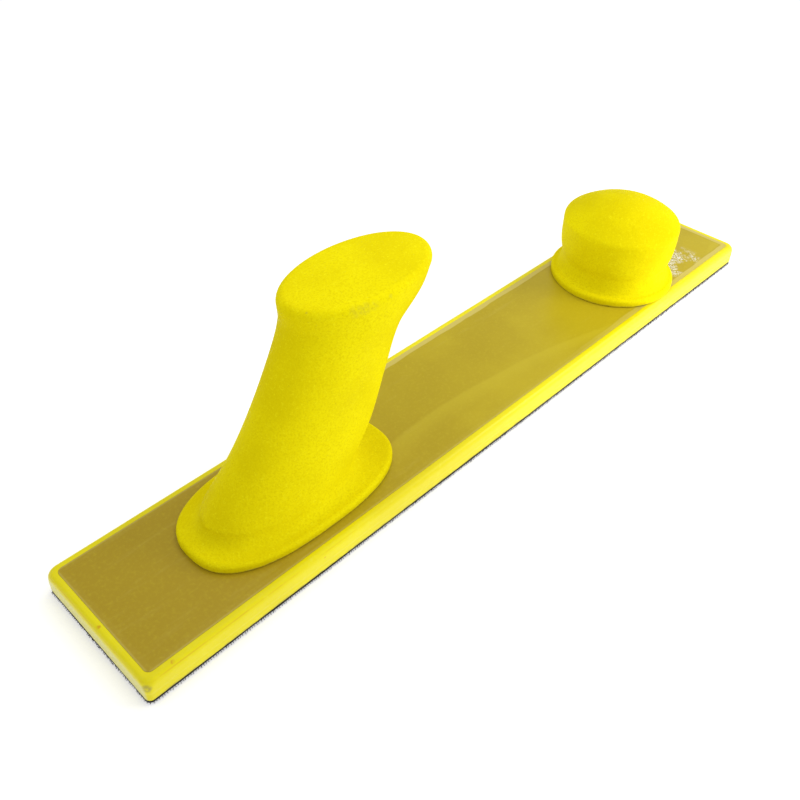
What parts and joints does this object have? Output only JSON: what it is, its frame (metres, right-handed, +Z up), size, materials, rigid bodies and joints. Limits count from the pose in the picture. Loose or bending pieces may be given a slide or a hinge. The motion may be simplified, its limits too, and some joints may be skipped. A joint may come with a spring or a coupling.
{
  "type": "hand sanding file board",
  "caption": "Long straight hand sanding board with a hook face underneath, a tall forward-leaning rear grip and a low round front knob.",
  "frame": {"origin": "centre of the board's underside, on the face of the hook sheet", "axes": "+X along the board towards the front knob, +Y across the board, +Z up out of the plate"},
  "size_m": [0.419, 0.07, 0.1092],
  "materials": {
    "pad": "satin moulded urethane, bright yellow",
    "grip": "matt moulded structural foam, bright yellow, fine orange-peel grain",
    "plate": "semi-gloss amber laminate with faint resin tide marks and a paler border",
    "hook": "near-black moulded hook fastener",
    "screw": "zinc-plated steel",
    "insert": "turned brass"
  },
  "bodies": {
    "root": {"hook_sheet": "hook", "base_pad": "pad", "backing_plate": "plate", "rear_grip": "grip", "front_knob": "grip", "grip_rear_screw": "screw", "grip_front_screw": "screw", "knob_screw": "screw", "grip_rear_insert": "insert", "grip_front_insert": "insert", "knob_insert": "insert"}
  },
  "joints": []
}
